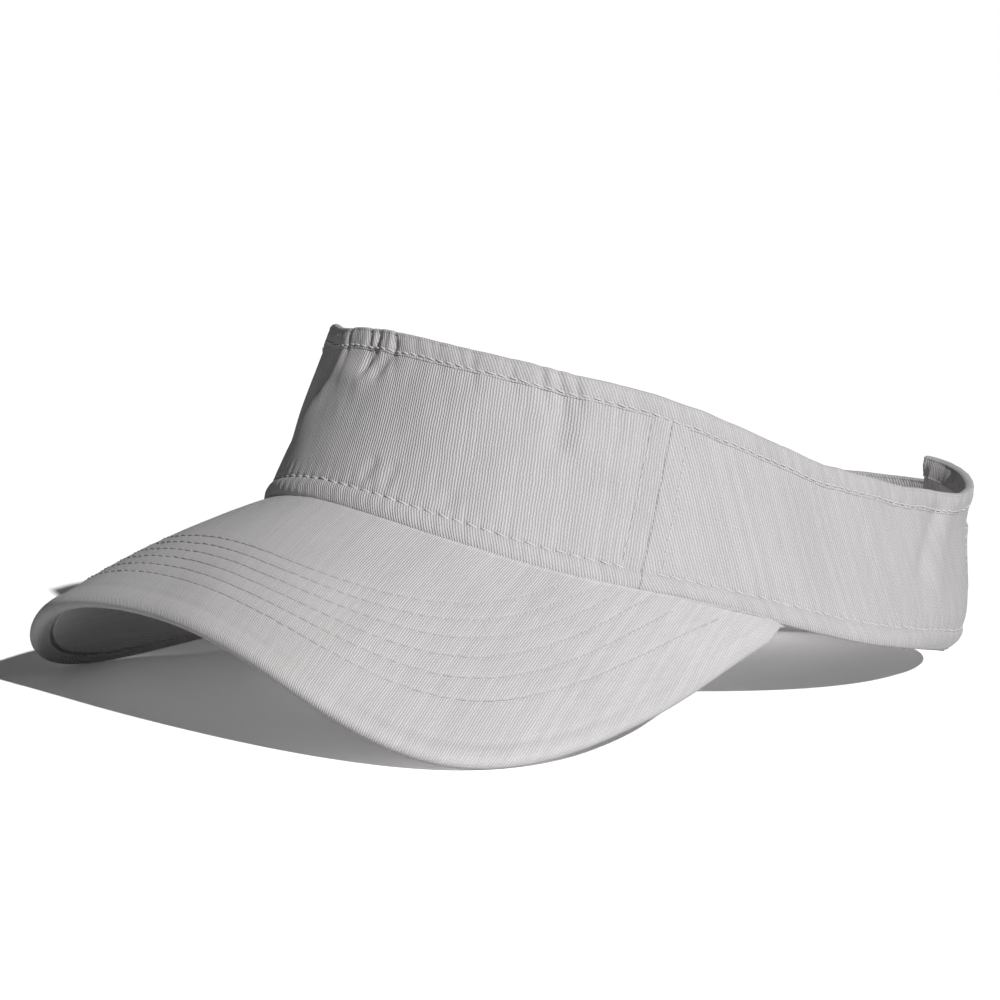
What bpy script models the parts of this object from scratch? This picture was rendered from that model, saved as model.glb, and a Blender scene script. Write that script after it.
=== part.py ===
"""Sun visor: a low cotton twill band with a bound top edge, a curved stitched brim and a
hook-and-loop closure at the back. Lengths are in millimetres until a mesh is made. The
brim points to -Y, the wearer's left is +X, and the visor stands on the floor at z = 0."""

import math

import bmesh
import bpy
import numpy as np

# The band loop as it lies on a table, measured at its outer lower edge
BAND_WIDTH = 155.4
FRONT_LENGTH = 103.0
BACK_LENGTH = 114.0
PLAN_POWER = 2.07
BAND_HEIGHT = 50.0
BAND_PITCH = math.radians(7.4)
FRONT_RISE = 56.0

# Shares of the front's rise and of the height, and the lean in radians, from the front
# centre to the back centre
EDGE_RISE = (1.0, 0.776, 0.546, 0.326, 0.165, 0.008)
HEIGHT_SHARE = (0.95, 0.996, 1.033, 0.968, 0.909, 0.9, 0.876, 0.918, 0.98)
LEAN = (0.28, 0.174, 0.142, 0.175, 0.03)

# The brim, as its reach out from the band and its drop below it, from its centre to its end
BRIM_REACH = 60.0
BRIM_DROP = 41.9
REACH_SHARE = (0.891, 0.999, 0.985, 0.483, 0.069, 0.0)
DROP_SHARE = (0.613, 0.69, 0.993, 0.757, 0.416, 0.12)
BRIM_ANGLE = math.radians(86.2)
BRIM_CROWN = 2.5
BOARD_THICK = 1.8
EDGE_TURN = 4.0

# Stitching rows on the brim, as shares of its reach from its centre to its end: the outermost
# row's distance from the edge, and the distance between rows
ROW_COUNT = 6
ROW_MARGIN = 3.0
ROW_FIRST = (0.197, 0.215, 0.298, 0.293, 0.225, 0.2)
ROW_PITCH = (0.0625, 0.073, 0.12, 0.137, 0.137, 0.137)

# Cloth, trim and thread
CLOTH = 0.8
PANEL_THICK = 1.6
HEM_HEIGHT = 5.4
HEM_SWELL = 0.9
BINDING_HEIGHT = 6.0
BINDING_CLOTH = 0.7
LINING_THICK = 0.7
SWEATBAND_THICK = 1.0
SWEATBAND_HEIGHT = 30.0
TAPE_THICK = 1.0
TAPE_HEIGHT = 20.0
THREAD = 0.25
GAP = 0.3

# Where pieces start and end round the loop
SEAM_ANGLE = math.radians(55.0)
SEAM_ROW_OFFSET = 5.5
ROW_INSET = 0.9
SWEATBAND_LOW = 1.0
SWEATBAND_ROW = 4.0
SWEATBAND_END = 2.35
STRAP_END_X = 8.0
TAB_HINGE_X = -26.0
TAB_LENGTH = 42.0
HOOK_LENGTH = 26.0
TAPE_INSET = 2.0
STRAP_LIFT = 8.0
LIFT_START = 2.5
LAP = PANEL_THICK + 2 * TAPE_THICK + 4 * GAP
LAP_START = 2.3
LAP_END = 3.05
STATION_COUNT = 90

BINDING_FACE = GAP + BINDING_CLOTH
BRIM_HALF = BOARD_THICK / 2 + GAP + CLOTH
LINING_BACK = PANEL_THICK + GAP + LINING_THICK
HALF_TURN = math.pi

GREY = (0.62, 0.61, 0.61)
MATERIALS = {
    "twill": (GREY, 0.85),
    "trim": ((0.64, 0.63, 0.63), 0.85),
    "thread": ((0.7, 0.69, 0.69), 0.6),
    "board": ((0.8, 0.8, 0.78), 0.45),
    "lining": ((0.75, 0.74, 0.72), 0.9),
    "hook_and_loop": ((0.5, 0.5, 0.5), 0.95),
}


def spline(values, span, free_end=False):
    """A smooth curve through evenly spaced values, level at its start."""
    values = np.array(values, float)
    count = len(values)
    matrix = np.zeros((count, count))
    right = np.zeros(count)
    matrix[0, 0] = 1
    matrix[-1, -1] = 1
    for i in range(1, count - 1):
        matrix[i, i - 1 : i + 2] = (1, 4, 1)
        right[i] = 3 * (values[i + 1] - values[i - 1])
    if free_end:
        matrix[-1, -2:] = (0.5, 1)
        right[-1] = 1.5 * (values[-1] - values[-2])
    slopes = np.linalg.solve(matrix, right)

    def at(x):
        place = min(max(x / span * (count - 1), 0), count - 1 - 1e-9)
        i = int(place)
        t = place - i
        start = values[i] * (1 + 2 * t) + slopes[i] * t
        end = values[i + 1] * (3 - 2 * t) + slopes[i + 1] * (t - 1)
        return start * (1 - t) ** 2 + end * t**2

    return at


edge_rise = spline(EDGE_RISE, HALF_TURN)
height_share = spline(HEIGHT_SHARE, HALF_TURN)
lean_angle = spline(LEAN, HALF_TURN)
reach_share = spline(REACH_SHARE, BRIM_ANGLE, free_end=True)
drop_share = spline(DROP_SHARE, BRIM_ANGLE, free_end=True)
row_first = spline(ROW_FIRST, BRIM_ANGLE, free_end=True)
row_pitch = spline(ROW_PITCH, BRIM_ANGLE, free_end=True)


def ease(x):
    x = min(max(x, 0), 1)
    return x * x * (3 - 2 * x)


def turn_of(angle):
    """The angle brought to between minus and plus half a turn: the tab runs on past the back."""
    return (angle + HALF_TURN) % (2 * HALF_TURN) - HALF_TURN


def height(angle):
    return BAND_HEIGHT * height_share(abs(turn_of(angle)))


def plan_radius(turn):
    """The loop's radius, an oval with a longer back than front."""
    length = FRONT_LENGTH if math.cos(turn) > 0 else BACK_LENGTH
    across = abs(math.sin(turn)) / (BAND_WIDTH / 2)
    along = abs(math.cos(turn)) / length
    return (across**PLAN_POWER + along**PLAN_POWER) ** (-1 / PLAN_POWER)


def lower_edge(angle):
    turn = turn_of(angle)
    radius = plan_radius(turn)
    rise = FRONT_RISE * edge_rise(abs(turn))
    return np.array([radius * math.sin(turn), -radius * math.cos(turn), rise])


def speed(angle):
    return np.linalg.norm(lower_edge(angle + 1e-3) - lower_edge(angle - 1e-3)) / 2e-3


def axes(angle):
    """The band's outward and upward directions at this angle."""
    along = lower_edge(angle + 0.01) - lower_edge(angle - 0.01)
    flat = np.array([along[1], -along[0]])
    flat /= np.linalg.norm(flat)
    axis = np.array([0, math.sin(BAND_PITCH), math.cos(BAND_PITCH)])
    out = np.array([flat[0], flat[1] * math.cos(BAND_PITCH), -flat[1] * math.sin(BAND_PITCH)])
    lean = lean_angle(abs(turn_of(angle)))
    up = axis * math.cos(lean) - out * math.sin(lean)
    return axis * math.sin(lean) + out * math.cos(lean), up


def lap(angle):
    """How far the right strap stands outside the loop, to lie over the left strap."""
    return LAP * ease((-angle - LAP_START) / (LAP_END - LAP_START))


def lift(angle):
    """How far the left strap's end is pulled up."""
    return STRAP_LIFT * ease((angle - LIFT_START) / (HALF_TURN - LIFT_START))


def place(angle, up_by, out_by):
    """A point on the band: up from its lower edge, and out from its outer face."""
    out, up = axes(angle)
    return lower_edge(angle) + up * (up_by + lift(angle)) + out * (out_by + lap(angle))


def angle_at(x):
    """The angle at which the back of the loop is this far to the wearer's left."""
    low, high = math.radians(140), math.radians(220)
    for _ in range(50):
        middle = (low + high) / 2
        if lower_edge(middle)[0] > x:
            low = middle
        else:
            high = middle
    return low


def arc(angle, distance):
    """The angle this many millimetres further round the loop."""
    return angle + distance / speed(angle)


STRAP_END = angle_at(STRAP_END_X)
HINGE = angle_at(TAB_HINGE_X) - 2 * HALF_TURN
TAB_END = angle_at(TAB_HINGE_X + TAB_LENGTH) - 2 * HALF_TURN


def material(name):
    found = bpy.data.materials.get(name)
    if found:
        return found
    colour, roughness = MATERIALS[name]
    made = bpy.data.materials.new(name)
    made.use_nodes = True
    shader = made.node_tree.nodes["Principled BSDF"]
    shader.inputs["Base Color"].default_value = (*colour, 1)
    shader.inputs["Roughness"].default_value = roughness
    made.diffuse_color = (*colour, 1)
    return made


def solid(name, rings, look, origin=(0, 0, 0)):
    """A closed body through rings of points, capped at both ends."""
    mesh = bmesh.new()
    rows = []
    for ring in rings:
        rows.append([mesh.verts.new((point - np.array(origin)) * 0.001) for point in ring])
    size = len(rows[0])
    for first, second in zip(rows, rows[1:]):
        for i in range(size):
            j = (i + 1) % size
            mesh.faces.new((first[i], first[j], second[j], second[i]))
    mesh.faces.new(rows[0])
    mesh.faces.new(rows[-1])
    bmesh.ops.recalc_face_normals(mesh, faces=mesh.faces)
    data = bpy.data.meshes.new(name)
    mesh.to_mesh(data)
    mesh.free()
    data.materials.append(material(look))
    made = bpy.data.objects.new(name, data)
    made.location = [value * 0.001 for value in origin]
    bpy.context.collection.objects.link(made)
    return made


def stations(start, end):
    """The ends and every shared station between them, so that stacked layers bend alike."""
    low, high = min(start, end), max(start, end)
    pitch = 2 * HALF_TURN / STATION_COUNT
    first = math.floor(low / pitch) + 1
    inner = [i * pitch for i in range(first, math.ceil(high / pitch))]
    inner = [angle for angle in inner if low + 0.1 * pitch < angle < high - 0.1 * pitch]
    angles = [low, *inner, high]
    return angles if start < end else angles[::-1]


def strip(name, start, end, section, look, origin=(0, 0, 0)):
    """A band of this section, given as (up, out) points at each angle."""
    rings = []
    for angle in stations(start, end):
        rings.append([place(angle, up, out) for up, out in section(angle)])
    return solid(name, rings, look, origin)


def thread(name, path, normals, origin=(0, 0, 0)):
    """One row of stitching as a continuous cord along a path."""
    path = np.array(path)
    rings = []
    for i, point in enumerate(path):
        along = path[min(i + 1, len(path) - 1)] - path[max(i - 1, 0)]
        across = np.cross(along, normals[i])
        across /= np.linalg.norm(across)
        lifted = np.cross(across, along)
        lifted /= np.linalg.norm(lifted)
        corners = (across + lifted, lifted - across, -across - lifted, across - lifted)
        rings.append([point + THREAD * corner / math.sqrt(2) for corner in corners])
    return solid(name, rings, "thread", origin)


def band_thread(name, start, end, up_at, out_by, origin=(0, 0, 0)):
    """Stitching round the band, at a height that may follow the band's own height."""
    path = []
    normals = []
    for angle in stations(start, end):
        path.append(place(angle, up_at(angle), out_by))
        normals.append(axes(angle)[0])
    return thread(name, path, normals, origin)


def seam_thread(name, angle):
    """Stitching down the band beside a panel seam."""
    ups = np.linspace(HEM_HEIGHT + 2, height(angle) - BINDING_HEIGHT - 1, 8)
    path = [place(angle, up, GAP + THREAD) for up in ups]
    return thread(name, path, [axes(angle)[0]] * len(path))


def rise(low, high, out, count=5):
    """Points up one face of a section, close enough together for the face to twist smoothly."""
    return [(up, out) for up in np.linspace(low, high, count)]


def panel_section(angle):
    top = height(angle) - GAP - 1
    hem = [
        (0, -PANEL_THICK / 2),
        (0.3, HEM_SWELL / 2),
        (HEM_HEIGHT * 0.25, HEM_SWELL),
        (HEM_HEIGHT * 0.75, HEM_SWELL),
    ]
    return hem + rise(HEM_HEIGHT, top, 0) + rise(top, 0.4, -PANEL_THICK)


def binding_section(angle):
    top = height(angle)
    low = top - BINDING_HEIGHT
    back = -PANEL_THICK - GAP
    return [
        (low, GAP),
        (low, BINDING_FACE),
        (top - 1.2, BINDING_FACE),
        (top - 0.2, GAP),
        (top, -PANEL_THICK / 2),
        (top - 0.2, back),
        (top - 1.2, back - BINDING_CLOTH),
        (low, back - BINDING_CLOTH),
        (low, back),
        (top - 0.9, back),
        (top - 0.9, GAP),
    ]


def layer(low_at, high_at, face, back):
    """A flat section between two heights and two depths."""

    def section(angle):
        low = low_at(angle)
        high = high_at(angle)
        return rise(low, high, face, 4) + rise(high, low, back, 4)

    return section


def brim_frame(angle):
    """The brim's inner edge, its outer edge and its flat width at this angle."""
    reach = BRIM_REACH * reach_share(abs(angle))
    drop = BRIM_DROP * drop_share(abs(angle))
    width = math.hypot(reach, drop)
    below = GAP * 1.5 + BRIM_HALF * abs(reach) / width
    inner = place(angle, -below, -PANEL_THICK / 2)
    flat = np.array([math.sin(angle), -math.cos(angle), 0])
    outer = lower_edge(angle) + flat * reach - np.array([0, 0, drop])
    return inner, outer, np.linalg.norm(outer - inner)


def brim_middle(angle, share):
    inner, outer, width = brim_frame(angle)
    crown = BRIM_CROWN * 4 * share * (1 - share) * min(width / BRIM_REACH, 1)
    return inner + (outer - inner) * share + np.array([0, 0, crown])


def brim_normal(angle, share):
    share = min(max(share, 0.02), 0.98)
    side = min(max(angle, 0.02 - BRIM_ANGLE), BRIM_ANGLE - 0.02)
    along = brim_middle(side + 0.02, share) - brim_middle(side - 0.02, share)
    across = brim_middle(angle, share + 0.02) - brim_middle(angle, share - 0.02)
    normal = np.cross(along, across)
    normal = normal / np.linalg.norm(normal)
    return normal if normal @ axes(angle)[0] + normal[2] > 0 else -normal


def brim_point(angle, across, offset):
    width = brim_frame(angle)[2]
    share = across / width
    return brim_middle(angle, share) + brim_normal(angle, share) * offset


def brim_solid(name, reach, section, look):
    rings = []
    for angle in np.linspace(-reach, reach, 41):
        width = brim_frame(angle)[2]
        rings.append([brim_point(angle, across, offset) for across, offset in section(width)])
    return solid(name, rings, look)


def top_cover_section(width):
    turn = min(EDGE_TURN, 0.3 * width)
    inner = BRIM_HALF - CLOTH
    outside = [(share * (width - 0.8), BRIM_HALF) for share in np.linspace(0, 1, 6)]
    inside = [(share * (width - 1.1), inner) for share in np.linspace(1, 0, 6)]
    edge = [
        (width + 0.5, BRIM_HALF * 0.45),
        (width + 0.5, -BRIM_HALF * 0.45),
        (width - 0.8, -BRIM_HALF),
        (width - turn, -BRIM_HALF),
        (width - turn, -inner),
        (width - 1.1, -inner),
        (width - 0.4, -inner / 2),
        (width - 0.4, inner / 2),
    ]
    return outside + edge + inside


def flat_brim_section(low, high, start, end_margin):
    def section(width):
        end = width - end_margin(width)
        shares = np.linspace(0, 1, 5)
        lower = [(start + (end - start) * share, low) for share in shares]
        upper = [(start + (end - start) * share, high) for share in shares[::-1]]
        return lower + upper

    return section


def build_brim():
    inner = BRIM_HALF - CLOTH
    half = BOARD_THICK / 2
    brim_solid("brim_top_cover", BRIM_ANGLE, top_cover_section, "twill")
    board = flat_brim_section(-half, half, 1.0, lambda width: 1.6)
    brim_solid("brim_board", 0.9 * BRIM_ANGLE, board, "board")
    under = flat_brim_section(-BRIM_HALF, -inner, 0.0, lambda width: min(EDGE_TURN, 0.3 * width) + GAP)
    brim_solid("brim_under_cover", BRIM_ANGLE, under, "twill")
    for row in range(ROW_COUNT):
        build_brim_row(row)


def row_across(row, angle):
    """How far out from the band a row of stitching lies, the outermost row being 0."""
    inside = row_first(abs(angle)) + row_pitch(abs(angle)) * row
    return brim_frame(angle)[2] - BRIM_REACH * inside


def build_brim_row(row):
    """Stitching that follows the brim's edge until it runs out at the band."""
    angles = np.linspace(0, BRIM_ANGLE, 121)
    reach = next(angle for angle in angles if row_across(row, angle) < ROW_MARGIN)
    path = []
    normals = []
    for angle in np.linspace(-reach, reach, 31):
        across = row_across(row, angle)
        path.append(brim_point(angle, across, BRIM_HALF + GAP + THREAD))
        normals.append(brim_normal(angle, across / brim_frame(angle)[2]))
    thread(f"brim_stitch_row_{row + 1}", path, normals)


def build_panels():
    strip("front_panel", arc(-SEAM_ANGLE, GAP / 2), arc(SEAM_ANGLE, -GAP / 2), panel_section, "twill")
    strip("left_side_panel", arc(SEAM_ANGLE, GAP / 2), STRAP_END, panel_section, "twill")
    strip("right_side_panel", arc(-SEAM_ANGLE, -GAP / 2), arc(HINGE, GAP / 2), panel_section, "twill")
    strip("top_binding", arc(HINGE, GAP / 2), STRAP_END, binding_section, "trim")


def build_inside():
    def low(angle):
        return HEM_HEIGHT + 2

    def high(angle):
        return height(angle) - BINDING_HEIGHT - 2

    lining = layer(low, high, -PANEL_THICK - GAP, -LINING_BACK)
    inner = arc(SEAM_ANGLE, -SEAM_ROW_OFFSET - 2 * GAP)
    strip("front_interlining", -inner, inner, lining, "lining")
    for side, sign in (("left", 1), ("right", -1)):
        start = arc(sign * SEAM_ANGLE, -SEAM_ROW_OFFSET)
        end = arc(sign * SEAM_ANGLE, SEAM_ROW_OFFSET)
        strip(f"{side}_seam_tape", start, end, lining, "lining")
        seam_thread(f"{side}_seam_stitch_front", arc(sign * SEAM_ANGLE, -sign * SEAM_ROW_OFFSET))
        seam_thread(f"{side}_seam_stitch_rear", arc(sign * SEAM_ANGLE, sign * SEAM_ROW_OFFSET))
    face = -LINING_BACK - GAP
    back = face - SWEATBAND_THICK
    top = SWEATBAND_LOW + SWEATBAND_HEIGHT
    sweat = layer(lambda angle: SWEATBAND_LOW, lambda angle: top, face, back)
    strip("sweatband", -SWEATBAND_END, SWEATBAND_END, sweat, "lining")
    end = SWEATBAND_END - 0.04
    band_thread("sweatband_stitch_row", -end, end, lambda angle: SWEATBAND_ROW, back - GAP - THREAD)


def binding_row(angle):
    return height(angle) - BINDING_HEIGHT + ROW_INSET


def hem_row(angle):
    return HEM_HEIGHT + ROW_INSET


def build_band_stitching():
    start = arc(HINGE, ROW_INSET)
    end = arc(STRAP_END, -ROW_INSET)
    band_thread("binding_stitch_row", start, end, binding_row, BINDING_FACE + GAP + THREAD)
    for name, first, last in (
        ("front_hem_stitch", arc(-SEAM_ANGLE, 1), arc(SEAM_ANGLE, -1)),
        ("left_hem_stitch", arc(SEAM_ANGLE, 1), end),
        ("right_hem_stitch", arc(-SEAM_ANGLE, -1), start),
    ):
        band_thread(name, first, last, hem_row, GAP + THREAD)


def tape_rows(angle):
    return height(angle) / 2 - TAPE_HEIGHT / 2


def build_closure():
    hinge = place(HINGE, 0, BINDING_FACE)
    start = arc(HINGE, -GAP / 2)
    strip("closure_tab", start, TAB_END, panel_section, "twill", hinge)
    strip("tab_binding", start, TAB_END, binding_section, "trim", hinge)
    first = arc(HINGE, -ROW_INSET)
    last = arc(TAB_END, ROW_INSET)
    band_thread("tab_binding_stitch", first, last, binding_row, BINDING_FACE + GAP + THREAD, hinge)
    band_thread("tab_hem_stitch", first, last, hem_row, GAP + THREAD, hinge)

    def high(angle):
        return tape_rows(angle) + TAPE_HEIGHT

    inner = -PANEL_THICK - GAP
    loop = layer(tape_rows, high, inner, inner - TAPE_THICK)
    strip("loop_tape", arc(HINGE, -TAPE_INSET), arc(TAB_END, TAPE_INSET), loop, "hook_and_loop", hinge)
    hook = layer(tape_rows, high, GAP + TAPE_THICK, GAP)
    hook_start = angle_at(STRAP_END_X + ROW_INSET + HOOK_LENGTH)
    strip("hook_tape", hook_start, arc(STRAP_END, -ROW_INSET), hook, "hook_and_loop")


def centre_on_floor():
    """Moves the whole visor so that its box stands on the floor, centred on the origin."""
    bpy.context.view_layer.update()
    points = []
    for made in bpy.data.objects:
        points += [made.matrix_world @ vertex.co for vertex in made.data.vertices]
    points = np.array(points)
    low, high = points.min(axis=0), points.max(axis=0)
    shift = ((low[0] + high[0]) / 2, (low[1] + high[1]) / 2, low[2])
    for made in bpy.data.objects:
        made.location = [value - by for value, by in zip(made.location, shift)]


for old in list(bpy.data.objects):
    bpy.data.objects.remove(old)
build_brim()
build_panels()
build_inside()
build_band_stitching()
build_closure()
centre_on_floor()
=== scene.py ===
"""Sun visor in light grey cotton twill on a pale floor, in hard light from its left.
Lengths are in millimetres until a mesh is made."""

import itertools
import math

import bpy
import numpy as np
from mathutils import Matrix, Vector


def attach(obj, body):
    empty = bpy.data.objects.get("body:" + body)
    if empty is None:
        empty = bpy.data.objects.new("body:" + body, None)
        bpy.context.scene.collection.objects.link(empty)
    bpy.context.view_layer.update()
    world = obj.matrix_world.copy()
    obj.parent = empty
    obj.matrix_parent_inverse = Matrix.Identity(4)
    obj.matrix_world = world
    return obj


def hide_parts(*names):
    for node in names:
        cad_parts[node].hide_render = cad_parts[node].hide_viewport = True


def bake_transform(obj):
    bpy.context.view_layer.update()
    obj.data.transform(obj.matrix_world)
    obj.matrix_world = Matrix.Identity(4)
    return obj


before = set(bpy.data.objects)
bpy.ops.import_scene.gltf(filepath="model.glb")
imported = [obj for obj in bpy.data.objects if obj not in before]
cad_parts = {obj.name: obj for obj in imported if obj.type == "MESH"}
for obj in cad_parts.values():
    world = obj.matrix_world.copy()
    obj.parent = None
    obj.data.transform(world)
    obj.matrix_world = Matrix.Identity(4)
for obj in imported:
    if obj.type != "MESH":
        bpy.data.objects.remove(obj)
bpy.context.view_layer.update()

# The band, as in the part
BAND_WIDTH = 155.4
FRONT_LENGTH = 103.0
BACK_LENGTH = 114.0
PLAN_POWER = 2.07
BAND_HEIGHT = 50.0
BAND_PITCH = math.radians(7.4)
FRONT_RISE = 56.0
EDGE_RISE = (1.0, 0.776, 0.546, 0.326, 0.165, 0.008)
HEIGHT_SHARE = (0.95, 0.996, 1.033, 0.968, 0.909, 0.9, 0.876, 0.918, 0.98)
LEAN = (0.28, 0.174, 0.142, 0.175, 0.03)
PANEL_THICK = 1.6
HEM_HEIGHT = 5.4
BINDING_HEIGHT = 6.0
SEAM_ANGLE = math.radians(55.0)
SEAM_ROW_OFFSET = 5.5
SWEATBAND_END = 2.35
SWEATBAND_HEIGHT = 30.0

# The closure, as in the part
TAPE_HEIGHT = 20.0
STRAP_END_X = 8.0
TAB_HINGE_X = -26.0
TAB_LENGTH = 42.0
HOOK_LENGTH = 26.0
STRAP_LIFT = 8.0
LIFT_START = 2.5
LAP = 4.8
LAP_START = 2.3
LAP_END = 3.05

# The brim, as in the part
BRIM_REACH = 60.0
BRIM_DROP = 41.9
REACH_SHARE = (0.891, 0.999, 0.985, 0.483, 0.069, 0.0)
BRIM_ANGLE = math.radians(86.2)
BRIM_CROWN = 2.5
BRIM_HALF = 2.0
BRIM_GAP = 0.45
CLOTH = 0.8
EDGE_TURN = 4.0
ROW_COUNT = 6
ROW_FIRST = (0.197, 0.215, 0.298, 0.293, 0.225, 0.2)
ROW_PITCH = (0.0625, 0.073, 0.12, 0.137, 0.137, 0.137)

# Unlike the part: the brim's ends, its seam allowance, its board and how far its rows reach
DROP_SHARE = (0.613, 0.69, 0.993, 0.757, 0.405, 0.022)
SEAM_ALLOWANCE = 1.4
BOARD_SHARE = 0.88
BOARD_HALF = 0.9
BOARD_INSET = 1.0
BOARD_TRIM = 2.8
ROW_MARGIN = 2.2

# Unlike the part: the curl of the left strap's end
CURL = 1.4
CURL_START = 2.72
TIP_CURL = 1.9
TIP_ANGLE = 3.07
TIP_SPAN = 0.1
STRAP_ROLL = 2.8

# The part's place in the shared frame
SHIFT = np.array([0.0, 16.284, -0.044])

# Stitching: rows, pitches, stitch lengths, thread radii and how far a thread arches
HEM_ROW = 5.5
HEM_PITCH = 4.0
HEM_STITCH = 2.9
BINDING_ROW = 0.9
BINDING_PITCH = 3.2
BINDING_STITCH = 2.4
SEAM_PITCH = 3.4
SEAM_STITCH = 2.5
SEAM_ROW_INSET = 1.2
SEAM_ROW_GAP = 0.6
SWEAT_ROW = 4.0
SWEAT_PITCH = 3.4
SWEAT_STITCH = 2.6
BRIM_PITCH = 3.6
BRIM_STITCH = 2.9
ROW_END = 1.3
THREAD = 0.23
SEAM_THREAD = 0.17
BRIM_THREAD = 0.18
THREAD_RISE = 0.22
BRIM_THREAD_RISE = 0.16
STITCH_STEPS = 9
STITCH_SIDES = 7


def spline(values, span, free_end=False):
    """A smooth curve through evenly spaced values, level at its start."""
    values = np.array(values, float)
    count = len(values)
    matrix = np.zeros((count, count))
    right = np.zeros(count)
    matrix[0, 0] = 1
    matrix[-1, -1] = 1
    for i in range(1, count - 1):
        matrix[i, i - 1 : i + 2] = (1, 4, 1)
        right[i] = 3 * (values[i + 1] - values[i - 1])
    if free_end:
        matrix[-1, -2:] = (0.5, 1)
        right[-1] = 1.5 * (values[-1] - values[-2])
    slopes = np.linalg.solve(matrix, right)

    def at(x):
        where = np.clip(np.asarray(x, float) / span * (count - 1), 0, count - 1 - 1e-9)
        i = where.astype(int)
        t = where - i
        start = values[i] * (1 + 2 * t) + slopes[i] * t
        end = values[i + 1] * (3 - 2 * t) + slopes[i + 1] * (t - 1)
        return start * (1 - t) ** 2 + end * t**2

    return at


edge_rise = spline(EDGE_RISE, math.pi)
height_share = spline(HEIGHT_SHARE, math.pi)
lean_angle = spline(LEAN, math.pi)
reach_share = spline(REACH_SHARE, BRIM_ANGLE, free_end=True)
drop_share = spline(DROP_SHARE, BRIM_ANGLE, free_end=True)
row_first = spline(ROW_FIRST, BRIM_ANGLE, free_end=True)
row_pitch = spline(ROW_PITCH, BRIM_ANGLE, free_end=True)


def ease(x):
    x = np.clip(x, 0, 1)
    return x * x * (3 - 2 * x)


def unit(vectors):
    return vectors / np.linalg.norm(vectors, axis=-1, keepdims=True)


def turn_of(angle):
    return (np.asarray(angle, float) + math.pi) % (2 * math.pi) - math.pi


def height(angle):
    return BAND_HEIGHT * height_share(np.abs(turn_of(angle)))


def lower_edge(angle):
    turn = turn_of(angle)
    length = np.where(np.cos(turn) > 0, FRONT_LENGTH, BACK_LENGTH)
    across = np.abs(np.sin(turn)) / (BAND_WIDTH / 2)
    along = np.abs(np.cos(turn)) / length
    radius = (across**PLAN_POWER + along**PLAN_POWER) ** (-1 / PLAN_POWER)
    rise = FRONT_RISE * edge_rise(np.abs(turn))
    return np.stack([radius * np.sin(turn), -radius * np.cos(turn), rise], -1) + SHIFT


def axes(angle):
    """The band's outward and upward directions at these angles."""
    angle = np.asarray(angle, float)
    along = lower_edge(angle + 0.01) - lower_edge(angle - 0.01)
    flat = unit(np.stack([along[..., 1], -along[..., 0]], -1))
    cos, sin = math.cos(BAND_PITCH), math.sin(BAND_PITCH)
    axis = np.array([0, sin, cos])
    out = np.stack([flat[..., 0], flat[..., 1] * cos, -flat[..., 1] * sin], -1)
    lean = lean_angle(np.abs(turn_of(angle)))[..., None]
    up = axis * np.cos(lean) - out * np.sin(lean)
    return axis * np.sin(lean) + out * np.cos(lean), up


def place(angle, up_by, out_by):
    """Points on the band: up from its lower edge, and out from its outer face."""
    angle = np.asarray(angle, float)
    angle = angle.reshape(angle.shape + (1,) * (np.ndim(up_by) - angle.ndim))
    out, up = axes(angle)
    lap = LAP * ease((-angle - LAP_START) / (LAP_END - LAP_START))
    lift = STRAP_LIFT * ease((angle - LIFT_START) / (math.pi - LIFT_START))
    curl = CURL * np.clip((angle - CURL_START) / (math.pi - CURL_START), 0, 1) ** 2
    curl = curl + TIP_CURL * np.clip((angle - TIP_ANGLE + TIP_SPAN) / TIP_SPAN, 0, 1.1) ** 2
    return lower_edge(angle) + up * (up_by + lift)[..., None] + out * (out_by + lap - curl)[..., None]


# Arc length round the lower edge, from past the tab's end to past the left strap's end
ANGLES = np.linspace(-3.9, 3.4, 7301)
STEPS = np.linalg.norm(np.diff(lower_edge(ANGLES), axis=0), axis=1)
ROUND = np.concatenate([[0], np.cumsum(STEPS)])
ROUND -= np.interp(0, ANGLES, ROUND)


def arc_at(angle):
    """Millimetres round the band from its front centre."""
    return np.interp(angle, ANGLES, ROUND)


def angle_of(arc):
    return np.interp(arc, ROUND, ANGLES)


def angle_at(x):
    """The angle at which the back of the loop is this far to the wearer's left."""
    back = np.linspace(math.radians(140), math.radians(220), 4000)
    return float(np.interp(-x, -lower_edge(back)[:, 0], back))


SEAM = float(arc_at(SEAM_ANGLE))
SEAM_SLANT = 0.14
SEAM_GAP = 0.01
STRAP_END = float(arc_at(angle_at(STRAP_END_X)))
TAB_START = float(arc_at(angle_at(TAB_HINGE_X) - 2 * math.pi))
TAB_END = float(arc_at(angle_at(TAB_HINGE_X + TAB_LENGTH) - 2 * math.pi))


def brim_frame(angle):
    """The brim's inner edge, its outer edge and its flat width at these angles."""
    reach = BRIM_REACH * reach_share(np.abs(angle))
    drop = BRIM_DROP * drop_share(np.abs(angle))
    below = BRIM_GAP + BRIM_HALF * np.abs(reach) / np.hypot(reach, drop)
    inner = place(angle, -below, np.full_like(below, -PANEL_THICK / 2))
    flat = np.stack([np.sin(angle), -np.cos(angle), 0 * angle], -1)
    outer = lower_edge(angle) + flat * reach[..., None]
    outer[..., 2] -= drop
    return inner, outer, np.linalg.norm(outer - inner, axis=-1)


def brim_middle(angle, share):
    inner, outer, width = (part[:, None] for part in brim_frame(angle))
    crown = BRIM_CROWN * 4 * share * (1 - share) * np.minimum(width / BRIM_REACH, 1)
    points = inner + (outer - inner) * share[..., None]
    points[..., 2] += crown
    return points


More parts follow.
